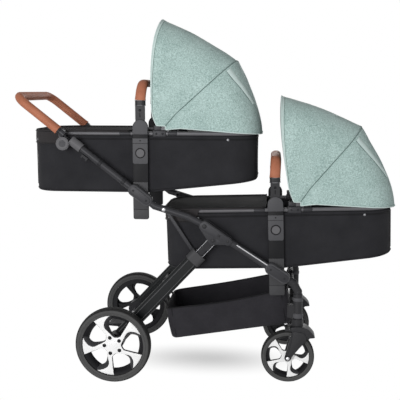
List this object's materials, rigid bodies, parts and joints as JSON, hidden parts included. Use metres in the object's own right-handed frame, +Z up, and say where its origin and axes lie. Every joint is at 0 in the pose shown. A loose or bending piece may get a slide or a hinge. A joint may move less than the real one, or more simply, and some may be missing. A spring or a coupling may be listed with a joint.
{
  "type": "twin pram",
  "caption": "Twin pram: folding tube frame on fixed rear wheels and swivelling front forks, stacked carrycots with folding hoods, aprons and bumper bars, tilting handle, low basket.",
  "frame": {"origin": "middle of the footprint, on the floor", "axes": "+X forward, +Y to the pram's left, +Z up"},
  "size_m": [1.4522, 0.597, 1.3724],
  "materials": {
    "frame_metal": "dark grey satin paint",
    "bow_metal": "grey satin",
    "dark_plastic": "dark matt",
    "grey_plastic": "dark grey satin",
    "steel": "brushed",
    "leather": "tan leather",
    "black_fabric": "black woven",
    "mint_fabric": "mint melange weave",
    "mattress_fabric": "white cotton",
    "tyre": "dark grey foam rubber",
    "white_plastic": "white gloss with black recesses"
  },
  "bodies": {
    "chassis": {"front_tubes": "frame_metal", "hinge_blocks": "dark_plastic", "hinge_pins": "steel", "lower_sleeves": "grey_plastic", "caster_housings": "dark_plastic", "front_crossbar": "frame_metal", "basket": "black_fabric", "basket_board": "dark_plastic"},
    "rear_legs": {"leg_frame": "frame_metal", "leg_collars": "dark_plastic", "shock_pieces": "steel", "rear_axle": "steel", "wheel_housings": "dark_plastic"},
    "brake_pedal": {"brake_pedal": "dark_plastic"},
    "handle_frame": {"handle_tubes": "frame_metal", "upper_sleeves": "grey_plastic", "tilt_housings": "dark_plastic"},
    "fold_links": {"fold_links": "steel"},
    "handle": {"handle_bar": "frame_metal", "grip_leather": "leather"},
    "rear_wheel_right": {"rear_tyre_right": "tyre", "rear_rim_right": "white_plastic"},
    "fork_right": {"fork_right": "dark_plastic"},
    "front_wheel_right": {"front_tyre_right": "tyre", "front_rim_right": "white_plastic"},
    "fold_trigger_right": {"fold_trigger_right": "dark_plastic"},
    "tilt_button_right": {"tilt_button_right": "grey_plastic"},
    "rear_wheel_left": {"rear_tyre_left": "tyre", "rear_rim_left": "white_plastic"},
    "fork_left": {"fork_left": "dark_plastic"},
    "front_wheel_left": {"front_tyre_left": "tyre", "front_rim_left": "white_plastic"},
    "fold_trigger_left": {"fold_trigger_left": "dark_plastic"},
    "tilt_button_left": {"tilt_button_left": "grey_plastic"},
    "upper_cot": {"upper_tub": "black_fabric", "upper_rim": "bow_metal", "upper_apron": "black_fabric", "upper_mattress": "mattress_fabric", "upper_adapters": "grey_plastic", "upper_hood_rear": "mint_fabric"},
    "upper_bumper": {"upper_bumper_stems": "grey_plastic", "upper_bumper_bar": "leather"},
    "upper_mid_bow": {"upper_mid_bow": "bow_metal", "upper_hood_front": "mint_fabric"},
    "upper_front_bow": {"upper_front_bow": "bow_metal"},
    "upper_button_right": {"upper_button_right": "grey_plastic"},
    "upper_button_left": {"upper_button_left": "grey_plastic"},
    "lower_cot": {"lower_tub": "black_fabric", "lower_rim": "bow_metal", "lower_apron": "black_fabric", "lower_mattress": "mattress_fabric", "lower_adapters": "grey_plastic", "lower_hood_rear": "mint_fabric"},
    "lower_bumper": {"lower_bumper_stems": "grey_plastic", "lower_bumper_bar": "leather"},
    "lower_mid_bow": {"lower_mid_bow": "bow_metal", "lower_hood_front": "mint_fabric"},
    "lower_front_bow": {"lower_front_bow": "bow_metal"},
    "lower_button_right": {"lower_button_right": "grey_plastic"},
    "lower_button_left": {"lower_button_left": "grey_plastic"}
  },
  "joints": [
    {"name": "frame_fold", "type": "hinge", "parent": "chassis", "child": "handle_frame", "pos_m": [0.00605, 0, 0.601], "axis": [0, 1, 0], "range_deg": [0, 150]},
    {"name": "leg_fold", "type": "hinge", "parent": "chassis", "child": "rear_legs", "pos_m": [0.03801, 0, 0.54716], "axis": [0, 1, 0], "range_deg": [0, 52]},
    {"name": "link_swing", "type": "hinge", "parent": "handle_frame", "child": "fold_links", "pos_m": [-0.1491, 0, 0.66108], "axis": [0, 1, 0], "range_deg": [-45, 0]},
    {"name": "handle_tilt", "type": "hinge", "parent": "handle_frame", "child": "handle", "pos_m": [-0.53137, 0, 0.90747], "axis": [0, 1, 0], "range_deg": [-60, 30]},
    {"name": "brake_tip", "type": "hinge", "parent": "rear_legs", "child": "brake_pedal", "pos_m": [-0.33894, 0, 0.145], "axis": [0, 1, 0], "range_deg": [-18, 0]},
    {"name": "rear_wheel_spin_right", "type": "hinge", "parent": "rear_legs", "child": "rear_wheel_right", "pos_m": [-0.33894, -0.276, 0.145], "axis": [0, 1, 0], "continuous": true},
    {"name": "fork_swivel_right", "type": "hinge", "parent": "chassis", "child": "fork_right", "pos_m": [0.35906, -0.212, 0.25], "axis": [0, 0, 1], "continuous": true},
    {"name": "front_wheel_spin_right", "type": "hinge", "parent": "fork_right", "child": "front_wheel_right", "pos_m": [0.32405, -0.212, 0.101], "axis": [0, 1, 0], "continuous": true},
    {"name": "fold_trigger_pull_right", "type": "slide", "parent": "handle_frame", "child": "fold_trigger_right", "axis": [-0.7891, 0, 0.6143], "range_m": [0, 0.012], "stiffness_N_per_m": 400},
    {"name": "tilt_button_press_right", "type": "slide", "parent": "handle_frame", "child": "tilt_button_right", "axis": [0, 1, 0], "range_m": [0, 0.003], "stiffness_N_per_m": 800},
    {"name": "rear_wheel_spin_left", "type": "hinge", "parent": "rear_legs", "child": "rear_wheel_left", "pos_m": [-0.33894, 0.276, 0.145], "axis": [0, 1, 0], "continuous": true},
    {"name": "fork_swivel_left", "type": "hinge", "parent": "chassis", "child": "fork_left", "pos_m": [0.35906, 0.212, 0.25], "axis": [0, 0, 1], "continuous": true},
    {"name": "front_wheel_spin_left", "type": "hinge", "parent": "fork_left", "child": "front_wheel_left", "pos_m": [0.32405, 0.212, 0.101], "axis": [0, 1, 0], "continuous": true},
    {"name": "fold_trigger_pull_left", "type": "slide", "parent": "handle_frame", "child": "fold_trigger_left", "axis": [-0.7891, 0, 0.6143], "range_m": [0, 0.012], "stiffness_N_per_m": 400},
    {"name": "tilt_button_press_left", "type": "slide", "parent": "handle_frame", "child": "tilt_button_left", "axis": [0, -1, 0], "range_m": [0, 0.003], "stiffness_N_per_m": 800},
    {"name": "upper_cot_lift", "type": "slide", "parent": "chassis", "child": "upper_cot", "axis": [0, 0, 1], "range_m": [0, 0.045]},
    {"name": "upper_bumper_pull", "type": "slide", "parent": "upper_cot", "child": "upper_bumper", "axis": [0, 0, 1], "range_m": [0, 0.035]},
    {"name": "upper_hood_fold", "type": "hinge", "parent": "upper_cot", "child": "upper_mid_bow", "pos_m": [-0.1506, 0, 0.97977], "axis": [0, 1, 0], "range_deg": [0, 37], "deforming": ["upper_hood_rear"]},
    {"name": "upper_hood_front_fold", "type": "hinge", "parent": "upper_mid_bow", "child": "upper_front_bow", "pos_m": [-0.1506, 0, 0.97977], "axis": [0, 1, 0], "range_deg": [0, 29.1], "deforming": ["upper_hood_front"]},
    {"name": "upper_release_press_right", "type": "slide", "parent": "upper_cot", "child": "upper_button_right", "axis": [0, 1, 0], "range_m": [0, 0.003], "stiffness_N_per_m": 800},
    {"name": "upper_release_press_left", "type": "slide", "parent": "upper_cot", "child": "upper_button_left", "axis": [0, -1, 0], "range_m": [0, 0.003], "stiffness_N_per_m": 800},
    {"name": "lower_cot_lift", "type": "slide", "parent": "chassis", "child": "lower_cot", "axis": [0, 0, 1], "range_m": [0, 0.045]},
    {"name": "lower_bumper_pull", "type": "slide", "parent": "lower_cot", "child": "lower_bumper", "axis": [-0.0314, 0, 0.9995], "range_m": [0, 0.035]},
    {"name": "lower_hood_fold", "type": "hinge", "parent": "lower_cot", "child": "lower_mid_bow", "pos_m": [0.3605, 0, 0.6966], "axis": [0, 1, 0], "range_deg": [0, 37], "deforming": ["lower_hood_rear"]},
    {"name": "lower_hood_front_fold", "type": "hinge", "parent": "lower_mid_bow", "child": "lower_front_bow", "pos_m": [0.3605, 0, 0.6966], "axis": [0, 1, 0], "range_deg": [0, 29.1], "deforming": ["lower_hood_front"]},
    {"name": "lower_release_press_right", "type": "slide", "parent": "lower_cot", "child": "lower_button_right", "axis": [0, 1, 0], "range_m": [0, 0.003], "stiffness_N_per_m": 800},
    {"name": "lower_release_press_left", "type": "slide", "parent": "lower_cot", "child": "lower_button_left", "axis": [0, -1, 0], "range_m": [0, 0.003], "stiffness_N_per_m": 800}
  ],
  "couplings": [
    {"joint": "leg_fold", "follows": "frame_fold", "ratio": 0.34667},
    {"joint": "link_swing", "follows": "frame_fold", "ratio": -0.29333},
    {"joint": "upper_hood_front_fold", "follows": "upper_hood_fold", "ratio": 0.78378},
    {"joint": "lower_hood_front_fold", "follows": "lower_hood_fold", "ratio": 0.78378}
  ]
}
